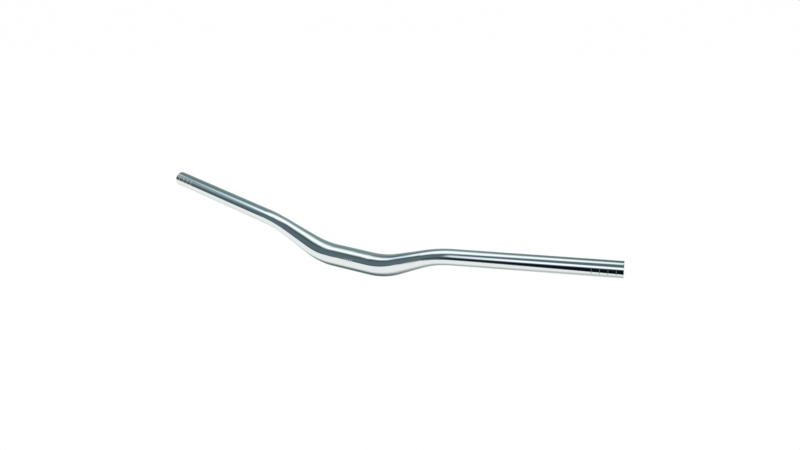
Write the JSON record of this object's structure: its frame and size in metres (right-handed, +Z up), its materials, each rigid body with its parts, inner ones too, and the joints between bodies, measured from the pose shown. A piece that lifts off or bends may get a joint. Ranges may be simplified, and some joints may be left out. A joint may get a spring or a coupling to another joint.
{
  "type": "riser handlebar",
  "caption": "Bent and tapered aluminium bicycle handlebar tube that rises from its clamp seat and sweeps back to straight open-ended grips.",
  "frame": {"origin": "middle of the clamp seat, on the tube's axis", "axes": "+X along the clamp seat towards the rider's left, +Y back towards the rider, +Z up, the way the bar rises"},
  "size_m": [0.7248, 0.08, 0.0705],
  "materials": {
    "polished_aluminium": "polished and clear anodised, with cut marks etched near each end"
  },
  "bodies": {
    "root": {"handlebar": "polished_aluminium"}
  },
  "joints": []
}
